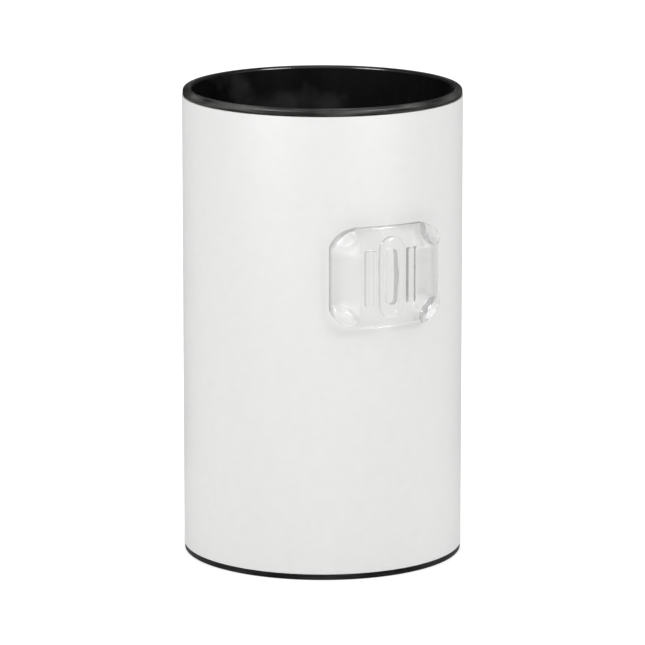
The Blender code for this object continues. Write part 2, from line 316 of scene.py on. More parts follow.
def drawn(shape, points, closed):
    """The vertices and edges of a line through points."""
    verts = [shape.verts.new(point) for point in points]
    pairs = list(zip(verts, verts[1:]))
    if closed:
        pairs.append((verts[-1], verts[0]))
    return verts, [shape.edges.new(pair) for pair in pairs]


def spun(shape, parts, turn, steps, merge=False):
    """Spins a line about Z into a skin."""
    axis = {"cent": (0, 0, 0), "axis": (0, 0, 1)}
    bmesh.ops.spin(shape, geom=parts, angle=turn, steps=steps, use_merge=merge, **axis)


def turned(section, segments, closed=True):
    """A bmesh turned about Z from (radius, height) points."""
    shape = bmesh.new()
    verts, edges = drawn(shape, [(r, 0, z) for r, z in section], closed)
    spun(shape, verts + edges, FULL_TURN, segments, merge=True)
    bmesh.ops.remove_doubles(shape, verts=shape.verts, dist=WELD)
    bmesh.ops.recalc_face_normals(shape, faces=shape.faces)
    return shape


def lofted(loops, ring=True, path_closed=False, caps=False, uv=None):
    """A bmesh skinned through loops of points, one extrusion for each. A ring joins its last point
    to its first, and a closed path its last loop to its first. uv gives a map's place from the
    numbers of a loop and a point."""
    shape = bmesh.new()
    verts, edges = drawn(shape, loops[0], ring)
    first_edges = edges
    grid = {vert: (0, number) for number, vert in enumerate(verts)}
    for row, loop in enumerate(loops[1:], 1):
        made = bmesh.ops.extrude_edge_only(shape, edges=edges)["geom"]
        edges = [part for part in made if isinstance(part, bmesh.types.BMEdge)]
        for vert in (part for part in made if isinstance(part, bmesh.types.BMVert)):
            for edge in vert.link_edges:
                known = grid.get(edge.other_vert(vert))
                if known and known[0] == row - 1:
                    grid[vert] = (row, known[1])
            vert.co = loop[grid[vert][1]]
        edges = [edge for edge in edges if all(grid[vert][0] == row for vert in edge.verts)]
    if uv:
        draw_map(shape, grid, len(loops[0]), uv)
    if caps:
        bmesh.ops.holes_fill(shape, edges=first_edges + edges, sides=0)
    if path_closed:
        bmesh.ops.remove_doubles(shape, verts=shape.verts, dist=WELD)
    bmesh.ops.recalc_face_normals(shape, faces=shape.faces)
    return shape


def draw_map(shape, grid, count, uv):
    """Gives each corner its place in the piece's own map."""
    layer = shape.loops.layers.uv.new("lay")
    for face in shape.faces:
        numbers = [grid[corner.vert] for corner in face.loops]
        wraps = max(n for _, n in numbers) - min(n for _, n in numbers) > count / 2
        for corner, (row, number) in zip(face.loops, numbers):
            corner[layer].uv = uv(row, count if wraps and number == 0 else number)


# Node materials


def start_material(name):
    """A new material, with its node tree and its Principled shader."""
    made = bpy.data.materials.new(name)
    made.use_nodes = True
    return made, made.node_tree, made.node_tree.nodes["Principled BSDF"]


def fill(tree, socket, value):
    """Gives an input a link where the value is a socket, and else the value itself."""
    if isinstance(value, bpy.types.NodeSocket):
        tree.links.new(value, socket)
    else:
        socket.default_value = value


def dress(tree, node, **values):
    """Fills a node's inputs by their names."""
    for name, value in values.items():
        fill(tree, node.inputs[name.replace("_", " ")], value)


def add(tree, kind, settings=(), **values):
    """A new node with its settings and its inputs."""
    node = tree.nodes.new(kind)
    for key, value in dict(settings).items():
        setattr(node, key, value)
    dress(tree, node, **values)
    return node


def math_node(tree, operation, *values):
    """The result of a Math node. Each value is a socket or a number."""
    node = add(tree, "ShaderNodeMath", {"operation": operation})
    for place, value in enumerate(values):
        fill(tree, node.inputs[place], value)
    return node.outputs[0]


def own_place(tree):
    """The piece's Object coordinates."""
    return tree.nodes.new("ShaderNodeTexCoord").outputs["Object"]


def cloud(tree, place, scale, detail=3.0, roughness=0.55):
    """A noise texture's value."""
    node = add(
        tree, "ShaderNodeTexNoise", Vector=place, Scale=scale, Detail=detail, Roughness=roughness
    )
    return node.outputs["Fac"]


def graded(tree, value, low, high, start=0.3, end=0.7):
    """A colour between low and high, by a value between start and end."""
    ramp = add(tree, "ShaderNodeValToRGB", Fac=value)
    for stop, place, tone in zip(ramp.color_ramp.elements, (start, end), (low, high)):
        stop.position = place
        stop.color = (*tone, 1)
    return ramp.outputs["Color"]


def ranged(tree, value, low, high, start=0.3, end=0.7):
    """A number between low and high, by a value between start and end."""
    node = add(tree, "ShaderNodeMapRange", Value=value)
    dress(tree, node, From_Min=start, From_Max=end, To_Min=low, To_Max=high)
    return node.outputs["Result"]


def bumped(tree, height, strength, depth, below=None):
    """A normal from a height, over another normal."""
    node = add(tree, "ShaderNodeBump", Height=height, Strength=strength, Distance=depth)
    if below:
        tree.links.new(below, node.inputs["Normal"])
    return node.outputs["Normal"]


def mixed(tree, way, share, first, second):
    """A colour mixed with a second one by a share."""
    node = add(tree, "ShaderNodeMix", {"data_type": "RGBA", "blend_type": way})
    dress(tree, node, Factor=share, A=first, B=second)
    return node.outputs["Result"]


def crossfaded(tree, share, first, second):
    """Shows the first shader, and the second one by its share."""
    node = tree.nodes.new("ShaderNodeMixShader")
    for place, source in enumerate((share, first.outputs["BSDF"], second.outputs["BSDF"])):
        tree.links.new(source, node.inputs[place])
    tree.links.new(node.outputs["Shader"], tree.nodes["Material Output"].inputs["Surface"])


def shade(colours, factor):
    """A colour made lighter or darker."""
    return tuple(min(1.0, part * factor) for part in colours)


def grey(level):
    """A plain grey."""
    return (level, level, level, 1)


def round_grain(tree, along, across):
    """Coordinates that stretch a pattern round the canister's axis, with no seam."""
    x, y, z = add(tree, "ShaderNodeSeparateXYZ", Vector=own_place(tree)).outputs
    across_x = math_node(tree, "MULTIPLY", x, x)
    square = math_node(tree, "ADD", across_x, math_node(tree, "MULTIPLY", y, y))
    reach = math_node(tree, "ADD", math_node(tree, "SQRT", square), z)
    node = add(
        tree,
        "ShaderNodeCombineXYZ",
        X=math_node(tree, "MULTIPLY", x, along),
        Y=math_node(tree, "MULTIPLY", y, along),
        Z=math_node(tree, "MULTIPLY", reach, across),
    )
    return node.outputs["Vector"]


def coated_paper(settings):
    """White coated paper: faint fibre clouds, a fine tooth and an even satin coat."""
    made, tree, shader = start_material("coated_paper")
    place = own_place(tree)
    base = settings.sleeve_colour[:]
    fibre = cloud(tree, place, 240.0, 4.0)
    tooth = cloud(tree, place, 2600.0, 2.0)
    soft = bumped(tree, cloud(tree, place, 38.0, 2.0), 0.25, 0.25 * MM)
    dress(
        tree,
        shader,
        Base_Color=graded(tree, fibre, shade(base, 0.985), shade(base, 1.01)),
        Roughness=ranged(tree, tooth, 0.44, 0.54),
        Normal=bumped(tree, tooth, 0.12, 0.04 * MM, soft),
    )
    return made


def satin_moulding(settings, name, streak_lift, gloss):
    """Black moulded plastic: lighter streaks round the ring, partly worn by rubbing and partly
    painted sheen, which gather in patches, and a fine grain. The streak lift is how much lighter
    the streaks are."""
    made, tree, shader = start_material(name)
    streaks = cloud(tree, round_grain(tree, 60.0, 1500.0), 1.0, 5.0, 0.65)
    patches = ranged(tree, cloud(tree, own_place(tree), 42.0, 2.0), 0.15, 1, 0.36, 0.6)
    worn_and_sheen_streaks = math_node(tree, "MULTIPLY", ranged(tree, streaks, 0, 1, 0.36, 0.66), patches)
    base = settings.moulding_colour[:]
    grain = cloud(tree, own_place(tree), 1500.0, 3.0)
    streaky = bumped(tree, streaks, 0.35, 0.06 * MM)
    dress(
        tree,
        shader,
        # The lighter streaks are partly worn plastic and partly painted sheen
        Base_Color=graded(tree, worn_and_sheen_streaks, shade(base, 0.4), shade(base, streak_lift), 0.0, 0.9),
        Roughness=ranged(tree, worn_and_sheen_streaks, 0.3, 0.5, 0.0, 0.8),
        Normal=bumped(tree, grain, 0.18, 0.06 * MM, streaky),
        Specular_IOR_Level=gloss,
    )
    return made


def polished_edge(settings):
    """The same moulding where hands have worn its inner edge smooth."""
    made, tree, shader = start_material("polished_edge")
    streaks = cloud(tree, round_grain(tree, 60.0, 900.0), 1.0, 4.0)
    base = settings.moulding_colour[:]
    dress(
        tree,
        shader,
        Base_Color=graded(tree, streaks, shade(base, 0.6), shade(base, 1.6)),
        Roughness=ranged(tree, streaks, 0.1, 0.18),
        Normal=bumped(tree, streaks, 0.12, 0.03 * MM),
    )
    return made


def liner_black(settings):
    """The liner's smoother black, with long soft streaks up the wall and paler patches that are
    painted reflections.
    """
    made, tree, shader = start_material("liner_black")
    place = own_place(tree)
    stretched = add(tree, "ShaderNodeMapping", Vector=place, Scale=(1.0, 1.0, 0.12))
    streaks = cloud(tree, stretched.outputs["Vector"], 95.0, 3.0)
    base = settings.liner_colour[:]
    tone = graded(tree, streaks, shade(base, 0.7), shade(base, 1.5))
    # Painted reflections: soft paler patches added to the liner's colour
    painted_reflections = ranged(tree, cloud(tree, place, 34.0, 4.0), 0, 1, 0.56, 0.72)
    dress(
        tree,
        shader,
        Base_Color=mixed(tree, "ADD", painted_reflections, tone, grey(0.03)),
        Roughness=ranged(tree, streaks, 0.36, 0.44),
        Normal=bumped(tree, cloud(tree, place, 900.0, 2.0), 0.12, 0.05 * MM),
        Specular_IOR_Level=0.06,
    )
    return made


def wound_board():
    """Grey-brown board wound in a spiral, with the butt line of its plies."""
    made, tree, shader = start_material("wound_board")
    place = own_place(tree)
    fibre = cloud(tree, place, 420.0, 5.0)
    x, y, z = add(tree, "ShaderNodeSeparateXYZ", Vector=place).outputs
    turn = math_node(tree, "DIVIDE", math_node(tree, "ARCTAN2", y, x), FULL_TURN)
    climb = math_node(tree, "DIVIDE", z, BOARD_LEAD)
    phase = math_node(tree, "FRACT", math_node(tree, "ADD", climb, turn))
    butt = ranged(tree, phase, 1.0, 0.0, 0.0, 0.02)
    tone = graded(tree, fibre, (0.27, 0.22, 0.17), (0.42, 0.36, 0.28))
    darkness = math_node(tree, "MULTIPLY", butt, 0.6)
    dress(
        tree,
        shader,
        Base_Color=mixed(tree, "MULTIPLY", darkness, tone, (0.3, 0.28, 0.25, 1)),
        Roughness=0.85,
        Normal=bumped(tree, math_node(tree, "SUBTRACT", fibre, butt), 0.5, 0.12 * MM),
    )
    return made


def cell_foam():
    """Dark closed-cell foam, with painted shade in the hollow of each cell."""
    made, tree, shader = start_material("cell_foam")
    cells = add(tree, "ShaderNodeTexVoronoi", Vector=own_place(tree), Scale=1100.0)
    distance = cells.outputs["Distance"]
    dress(
        tree,
        shader,
        # Painted shade: darker in the hollow of each cell, lighter on the cell walls
        Base_Color=graded(tree, distance, (0.016, 0.016, 0.017), (0.05, 0.05, 0.052), 0.1, 0.6),
        Roughness=0.92,
        Normal=bumped(tree, distance, 0.6, 0.2 * MM),
    )
    return made


def clear_plastic(index):
    """Clear moulded plastic: faint waves that a mould leaves, painted shade that greys the colour
    where the surface turns away, and a painted highlight that whitens the lugs' cores. Lamps and
    scattered light pass it."""
    made, tree, shader = start_material("clear_plastic")
    steep = add(tree, "ShaderNodeAttribute", {"attribute_name": "steep"}).outputs["Fac"]
    painted_glint = add(tree, "ShaderNodeAttribute", {"attribute_name": "painted_glint"}).outputs["Fac"]
    flow = cloud(tree, own_place(tree), 130.0, 2.0)
    dress(
        tree,
        shader,
        # Painted shade: the colour greys where the surface turns away, for the dark edge lines of
        # clear plastic
        Base_Color=graded(tree, steep, (1.0, 1.0, 0.998), (0.14, 0.145, 0.145), 0.18, 0.9),
        # Painted highlight: the lugs' cores turn less clear and scatter white
        Transmission_Weight=ranged(tree, painted_glint, 1.0, 0.55, 0, 1),
        Alpha=0.76,
        IOR=index,
        Roughness=ranged(tree, flow, 0.02, 0.06),
        Normal=bumped(tree, flow, 0.15, 0.12 * MM),
    )
    path = tree.nodes.new("ShaderNodeLightPath").outputs
    passes = math_node(tree, "MAXIMUM", path["Is Shadow Ray"], path["Is Diffuse Ray"])
    passed = graded(tree, steep, (0.992, 0.992, 0.99), (0.15, 0.155, 0.155), 0.3, 1.0)
    window = add(tree, "ShaderNodeBsdfTransparent", Color=passed)
    crossfaded(tree, passes, shader, window)
    return made


def bond_gel(index):
    """The clear bond, faintly hazy."""
    made, tree, shader = start_material("bond_gel")
    dress(
        tree,
        shader,
        Base_Color=(0.98, 0.985, 0.985, 1),
        Transmission_Weight=1.0,
        Alpha=0.12,
        IOR=index,
        Roughness=ranged(tree, cloud(tree, own_place(tree), 600.0, 2.0), 0.15, 0.3),
    )
    return made


def weave_waves(tree, turns, pitch):
    """The heights of the threads that run each way, and the place on the piece's own map."""
    place = add(tree, "ShaderNodeUVMap", {"uv_map": "lay"}).outputs["UV"]
    parts = add(tree, "ShaderNodeSeparateXYZ", Vector=place).outputs
    waves = []
    for part in (parts["X"], parts["Y"]):
        swing = math_node(tree, "MULTIPLY", part, turns * FULL_TURN / pitch)
        waves.append(math_node(tree, "SINE", swing))
    return waves, place


def glass_cloth(settings):
    """Plain-woven glass cloth: crossing threads with painted shade between them, slubs and a faint
    sheen.
    """
    made, tree, shader = start_material("glass_cloth")
    (warp, weft), place = weave_waves(tree, 0.5, 0.8 * MM)
    height = math_node(tree, "ABSOLUTE", math_node(tree, "MULTIPLY", warp, weft))
    slubs = cloud(tree, place, 90.0, 4.0)
    base = settings.cloth_colour[:]
    tone = graded(tree, slubs, shade(base, 0.9), shade(base, 1.06))
    # Painted shade: the colour darkens where the weave is low, between the threads
    threads = graded(tree, height, shade(base, 0.72), (1, 1, 1), 0.0, 0.35)
    dress(
        tree,
        shader,
        Base_Color=mixed(tree, "MULTIPLY", 0.45, tone, threads),
        Roughness=ranged(tree, slubs, 0.5, 0.72),
        Sheen_Weight=0.15,
        Normal=bumped(tree, height, 0.5, 0.12 * MM),
    )
    return made


def webbing(settings):
    """Woven tape: ribs along it and finer picks across it, with painted shade in its grooves and
    painted sheen on its ribs.
    """
    made, tree, shader = start_material("webbing")
    (ribs, picks), place = weave_waves(tree, 1.0, 1.6 * MM)
    finer = math_node(tree, "MULTIPLY", picks, 0.35)
    height = math_node(tree, "ADD", math_node(tree, "ABSOLUTE", ribs), finer)
    base = settings.tape_colour[:]
    dress(
        tree,
        shader,
        # Painted shade in the grooves and painted sheen on the ribs' tops
        Base_Color=graded(tree, height, shade(base, 0.55), shade(base, 2.2), 0.0, 1.2),
        Roughness=ranged(tree, cloud(tree, place, 700.0, 3.0), 0.6, 0.85),
        Sheen_Weight=0.25,
        Normal=bumped(tree, height, 0.6, 0.2 * MM),
    )
    return made


def sewing_thread(settings):
    """Twisted thread."""
    made, tree, shader = start_material("sewing_thread")
    twist = cloud(tree, own_place(tree), 2500.0, 2.0)
    base = settings.thread_colour[:]
    tone = graded(tree, twist, shade(base, 0.7), shade(base, 1.1))
    dress(tree, shader, Base_Color=tone, Roughness=0.7)
    return made


def floor_paint(settings):
    """The pale floor, a table of white acrylic lit a little from below. It throws less light than
    it shows, and gloss finds it darker."""
    made, tree, shader = start_material("floor_paint")
    base = settings.floor_colour[:]
    clouds = cloud(tree, own_place(tree), 3.0, 2.0)
    path = tree.nodes.new("ShaderNodeLightPath").outputs
    seen = path["Is Camera Ray"]
    dress(
        tree,
        shader,
        Base_Color=graded(tree, clouds, shade(base, 0.59), shade(base, 0.6)),
        Roughness=0.8,
        Specular_IOR_Level=0.1,
        Emission_Color=(1, 1, 1, 1),
        Emission_Strength=ranged(tree, seen, settings.floor_light, settings.floor_glow, 0, 1),
    )
    unlit = add(tree, "ShaderNodeBsdfDiffuse", Color=grey(0.03))
    share = math_node(tree, "MULTIPLY", path["Is Glossy Ray"], 0.5)
    crossfaded(tree, share, shader, unlit)
    return made


def black_card():
    """Black card with a faint fibre."""
    made, tree, shader = start_material("black_card")
    fibre = cloud(tree, own_place(tree), 60.0)
    tone = graded(tree, fibre, (0.01, 0.01, 0.01), (0.02, 0.02, 0.02))
    dress(tree, shader, Base_Color=tone, Roughness=0.9)
    return made


def cached(key, maker, *inputs):
    """A material, made the first time that it is asked for."""
    return bpy.data.materials.get(key) or maker(*inputs)


# The canister


class BUILD_OT_sleeve(bpy.types.Operator):
    """Wraps the white sleeve round the tube, with its lap at the back"""

    bl_idname = "canister.build_sleeve"
    bl_label = "White sleeve"

    def execute(self, context):
        settings = context.scene.canister
        low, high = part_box("outer_sleeve")
        outer = high.x
        wall = settings.sleeve_wall
        ramp = LAP_RAMP / outer
        start = math.pi / 2
        seam = start + FULL_TURN
        turns = [start + FULL_TURN * part for part in shares(settings.segments, 0)]
        turns = [turn for turn in turns if turn < seam - ramp]
        turns += [seam - ramp * (1 - part) for part in shares(6, 0)]
        turns += [seam + settings.overlap / outer * part for part in shares(6)]
        loops = []
        for turn in turns:
            on_ramp = held((turn - seam + ramp) / ramp)
            lift = LAP_THINNED * (wall + LAP_GAP) * eased(on_ramp)
            inner = outer - wall * (1 - (1 - LAP_THINNED) * on_ramp)
            section = ring_section(inner, outer, low.z, high.z, (wall / 4,) * 4, 2)
            x, y = math.cos(turn), math.sin(turn)
            loops.append([((r + lift) * x, (r + lift) * y, z) for r, z in section])
        shape = lofted(loops, caps=True)
        finish = cached("coated_paper", coated_paper, settings)
        hand_over("sleeve_wrap", shape, "outer_sleeve", "canister", finish)
        return {"FINISHED"}


class BUILD_OT_rim(bpy.types.Operator):
    """Turns the black rim ring with its skirt"""

    bl_idname = "canister.build_rim"
    bl_label = "Rim ring"

    def execute(self, context):
        settings = context.scene.canister
        low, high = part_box("rim_ring")
        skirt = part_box("inner_liner")[1].x
        inner = skirt - settings.liner_wall
        under = high.z - settings.rim_band
        rounds = (settings.rim_round, settings.under_round, 0, settings.lip_round)
        section = ring_section(inner, high.x, under, high.z, rounds)
        foot = section.index((inner, under))
        section[foot : foot + 1] = [(skirt, under), (skirt, low.z), (inner, low.z)]
        shape = turned(section, settings.segments)
        finish = cached("rim_moulding", satin_moulding, settings, "rim_moulding", 8.0, 0.24)
        rim = hand_over("rim", shape, "rim_ring", "canister", finish)
        rim.data.materials.append(cached("liner_black", liner_black, settings))
        rim.data.materials.append(cached("polished_edge", polished_edge, settings))
        for face in rim.data.polygons:
            if math.hypot(face.center.x, face.center.y) < inner + settings.lip_round:
                above_lip = face.center.z > high.z - settings.lip_round
                face.material_index = 2 if above_lip else 1
        return {"FINISHED"}


class BUILD_OT_liner(bpy.types.Operator):
    """Turns the black liner"""

    bl_idname = "canister.build_liner"
    bl_label = "Liner"

    def execute(self, context):
        settings = context.scene.canister
        low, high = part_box("inner_liner")
        wall = settings.liner_wall
        section = ring_section(high.x - wall, high.x, low.z, high.z, (wall / 4,) * 4, 3)
        shape = turned(section, settings.segments)
        finish = cached("liner_black", liner_black, settings)
        hand_over("liner", shape, "inner_liner", "canister", finish)
        return {"FINISHED"}


class BUILD_OT_base(bpy.types.Operator):
    """Turns the base ring, the floor disc and the foam pad under it"""

    bl_idname = "canister.build_base"
    bl_label = "Base"

    def execute(self, context):
        settings = context.scene.canister
        segments = settings.segments
        low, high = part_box("base_ring")
        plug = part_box("inner_liner")[1].x
        inner = plug - settings.liner_wall
        ledge = plug - settings.base_ledge
        band_top = low.z + settings.base_band
        size = settings.base_round
        section = [(plug, high.z), (plug, band_top), (high.x, band_top)]
        section += arc((high.x - size, low.z + size), size, 0, -90, 6)
        section += [(ledge, low.z), (ledge, band_top), (inner, band_top), (inner, high.z)]
        shape = turned(section, segments)
        finish = cached("base_moulding", satin_moulding, settings, "base_moulding", 3.2, 0.1)
        hand_over("base", shape, "base_ring", "canister", finish)
        low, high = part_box("floor_disc")
        edge = settings.floor_edge
        dish = high.x - settings.floor_border
        section = [(0, high.z), (dish - 2 * edge, high.z), (dish, high.z - edge)]
        section += [(high.x - edge, high.z - edge), (high.x, high.z - 2 * edge)]
        section += [(high.x, low.z), (0, low.z)]
        shape = turned(section, segments, closed=False)
        hand_over("floor", shape, "floor_disc", "canister", finish)
        low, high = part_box("floor_pad")
        section = [(0, high.z), (high.x, high.z)]
        section += arc((high.x - edge, low.z + edge), edge, 0, -90, 4) + [(0, low.z)]
        shape = turned(section, segments, closed=False)
        finish = cached("cell_foam", cell_foam)
        hand_over("foam_pad", shape, "floor_pad", "canister", finish)
        return {"FINISHED"}


class BUILD_OT_board(bpy.types.Operator):
    """Gives the board tube its material"""

    bl_idname = "canister.build_board"
    bl_label = "Board tube"

    def execute(self, context):
        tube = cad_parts["core_tube"]
        tube.material_slots[0].material = cached("wound_board", wound_board)
        return {"FINISHED"}


# The bracket


def plateau(distance, half, blend):
    """1 within half of the middle and 0 outside it, with a soft step of the blend's width."""
    return eased((half - abs(distance)) / blend)


def bracket_outline(settings, spacing):
    """The bracket's outline, across and up from its centre, at an even spacing."""
    half_width = settings.width / 2
    half_height = settings.height / 2
    start = Vector((half_width, half_height - settings.corner_up))
    end = Vector((half_width - settings.corner_across, half_height))
    along = end - start
    out = Vector((along.y, -along.x)).normalized() * settings.corner_bulge
    quarter = [start + along * part + out * 4 * part * (1 - part) for part in shares(12, 0)]
    corners = []
    for side, level in ((1, 1), (-1, 1), (-1, -1), (1, -1)):
        row = quarter if side == level else reversed(quarter)
        corners += [Vector((side * point.x, level * point.y)) for point in row]
    points = []
    for first, second in zip(corners, corners[1:] + corners[:1]):
        count = max(1, round((second - first).length / spacing))
        points += [first.lerp(second, step / count) for step in range(count)]
    return points


def lug_reach(settings, x, y):
    """How far a place is from the middle of the nearest lug, as a share of the way to its edge."""
    lean = math.atan2(settings.corner_up, settings.corner_across)
    offset_x = abs(x) - settings.width / 2 + settings.lug_inset
    offset_y = abs(y) - settings.height / 2 + settings.lug_inset
    along = offset_x * math.cos(lean) - offset_y * math.sin(lean)
    across = offset_x * math.sin(lean) + offset_y * math.cos(lean)
    return math.hypot(2 * along / settings.lug_length, 2 * across / settings.lug_width)


def bracket_relief(settings, x, y):
    """How far the front stands above the plate at a place on it."""
    core = (settings.collar_height - settings.collar_width) / 2
    from_core = math.hypot(x, max(0.0, abs(y) - core))
    bead_half = (settings.collar_width - settings.slot_width) / 4
    bead_part = (from_core - settings.collar_width / 2 + bead_half) / bead_half
    collar = 0.5 * plateau(from_core, settings.collar_width / 2 - bead_half, RELIEF_STEP)
    collar = max(collar, math.sqrt(max(0.0, 1 - bead_part**2)))
    from_rail = abs(x) - settings.rail_spacing / 2
    rail = plateau(from_rail, settings.rail_width / 2, RELIEF_STEP)
    rail *= 1 - 0.5 * plateau(from_rail, settings.rail_width / 4, RELIEF_STEP)
    rail *= plateau(y, settings.rail_height / 2, RAIL_END)
    raised = settings.rise * max(collar, rail)
    reach = lug_reach(settings, x, y)
    if reach < 1:
        root = settings.wall / 2
        dome = (settings.lug_rise + root) * math.sqrt(1 - reach**2) - root
        raised = max(raised, dome - LUG_DIMPLE * plateau(reach, 0.55, 0.25))
    return raised


class BUILD_OT_bracket(bpy.types.Operator):
    """Moulds the clear bracket, and gives its bond pads their material"""

    bl_idname = "canister.build_bracket"
    bl_label = "Clear bracket"

    def execute(self, context):
        settings = context.scene.bracket
        low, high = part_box("bracket_plate")
        middle = (low.z + high.z) / 2
        back = self.back_radius()
        core = (settings.slot_height - settings.slot_width) / 2
        rays = []
        for point in bracket_outline(settings, RAY_SPACING):
            root = Vector((0, point.y * core / (settings.height / 2)))
            toward = (point - root).normalized()
            rays.append((root + toward * settings.slot_width / 2, point))
        size = settings.edge_round
        lip = settings.slot_lip
        loops = []

        def add_loop(place, radius=None, drop=0.0):
            """A loop round the slot, at a radius, or else on the front with its relief."""
            loop = []
            for near, far in rays:
                spot = place(near, far)
                reach = radius or back + settings.wall + bracket_relief(settings, *spot) - drop
                loop.append(self.on_canister(settings, middle, spot, reach))
            loops.append(loop)

        def from_slot(distance):
            return lambda near, far: near + (far - near).normalized() * distance

        def from_side(distance):
            return lambda near, far: far + (near - far).normalized() * distance

        def between(first, second, part):
            return lambda near, far: first(near, far).lerp(second(near, far), part)

        for part in shares(4, 0):
            turn = math.radians(90 * part)
            add_loop(from_slot(lip * (1 - math.cos(turn))), drop=lip * (1 - math.sin(turn)))
        for part in shares(FRONT_LOOPS)[:-1]:
            add_loop(between(from_slot(lip), from_side(size), part))
        for part in shares(6, 0):
            turn = math.radians(90 * part)
            add_loop(from_side(size * (1 - math.sin(turn))), drop=size * (1 - math.cos(turn)))
        add_loop(from_side(0), back + lip / 2)
        for part in shares(BACK_LOOPS, 0):
            add_loop(between(from_side(lip / 2), from_slot(0), part), back)
        loops.append(list(loops[0]))
        shape = lofted(loops, path_closed=True)
        finish = cached("clear_plastic", clear_plastic, settings.clearness)
        piece = hand_over(
            "bracket", shape, "bracket_plate", "canister", finish, MOULD_SHARP
        )
        self.mark_surface(settings, middle, piece.data)
        for number in range(1, 5):
            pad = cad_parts[f"bond_pad_{number}"]
            pad.material_slots[0].material = cached("bond_gel", bond_gel, settings.clearness)
        return {"FINISHED"}

    def mark_surface(self, settings, middle, mesh):
        """Writes how far the surface turns from straight out, for the painted edge shade, which
        counts half in the slot and low on a lug's flank, and the painted highlight on the lugs, 0
        to 1."""
        steep = mesh.attributes.new("steep", "FLOAT", "POINT")
        painted_glint = mesh.attributes.new("painted_glint", "FLOAT", "POINT")
        across = Vector((math.cos(settings.azimuth), math.sin(settings.azimuth), 0))
        slot = settings.slot_width / 2 + SLOT_MARGIN
        for number, spot in enumerate(mesh.vertices):
            outward = Vector((spot.co.x, spot.co.y, 0)).normalized()
            lean = 1 - abs(outward.dot(spot.normal))
            x = spot.co.dot(across)
            reach = lug_reach(settings, x, spot.co.z - middle)
            if abs(x) < slot or (reach < 1 and lean < LUG_FLANK):
                lean *= 0.5
            steep.data[number].value = lean
            # The painted highlight, on the lugs' outward faces
            if outward.dot(spot.normal) > 0:
                painted_glint.data[number].value = plateau(reach, 0.8, 0.5)

    def back_radius(self):
        """The radius of the plate's back, from the nearest corner of its solid to the axis."""
        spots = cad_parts["bracket_plate"].data.vertices
        return min(math.hypot(spot.co.x, spot.co.y) for spot in spots)

    def on_canister(self, settings, middle, spot, radius):
        """A place on the bracket, across and up from its centre, at a radius round the axis."""
        out = math.sqrt(radius**2 - spot.x**2)
        turn = settings.azimuth
        x = spot.x * math.cos(turn) + out * math.sin(turn)
        y = spot.x * math.sin(turn) - out * math.cos(turn)
        return (x, y, middle + spot.y)


# The blanket


class Roll:
    """Where the rolled cloth lies."""

    def __init__(self, settings):
        low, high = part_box("blanket_roll")
        self.bottom = low.z
        self.top = high.z
        self.outer = high.x - ROLL_MARGIN
        self.pitch = settings.layers * settings.layer_pitch + TURN_GAP
        self.stack = (settings.layers - 1) * settings.layer_pitch
        self.end = settings.end_angle
        self.last_reach = self.outer - settings.cloth / 2 - self.stack
        self.turns = self.find_turns(settings.side)

    def find_turns(self, side):
        """The angle that the strip turns through, so that its middle is as long as the blanket."""
        step = math.radians(1)
        total = covered = 0.0
        while total < side:
            total += (self.reach(covered) + self.stack / 2) * step
            covered += step
        return covered

    def reach(self, turn):
        """The radius of the innermost layer at an angle counted back from the outer end."""
        return self.last_reach - self.pitch * turn / FULL_TURN

    def spot(self, turn, offset, z):
        """A point at an angle back from the end, a distance out from the innermost layer. It
        drifts a little, as loosely rolled cloth does, but not at the outside."""
        whole = self.end - turn
        radius = self.reach(turn) + offset
        x = radius * math.cos(whole)
        y = radius * math.sin(whole)
        drift = noise.noise_vector(Vector((x * 22, y * 22, z * 14))) * DRIFT
        fade = held((self.outer - radius) / DRIFT_FADE)
        return (x + drift.x * fade, y + drift.y * fade, z)


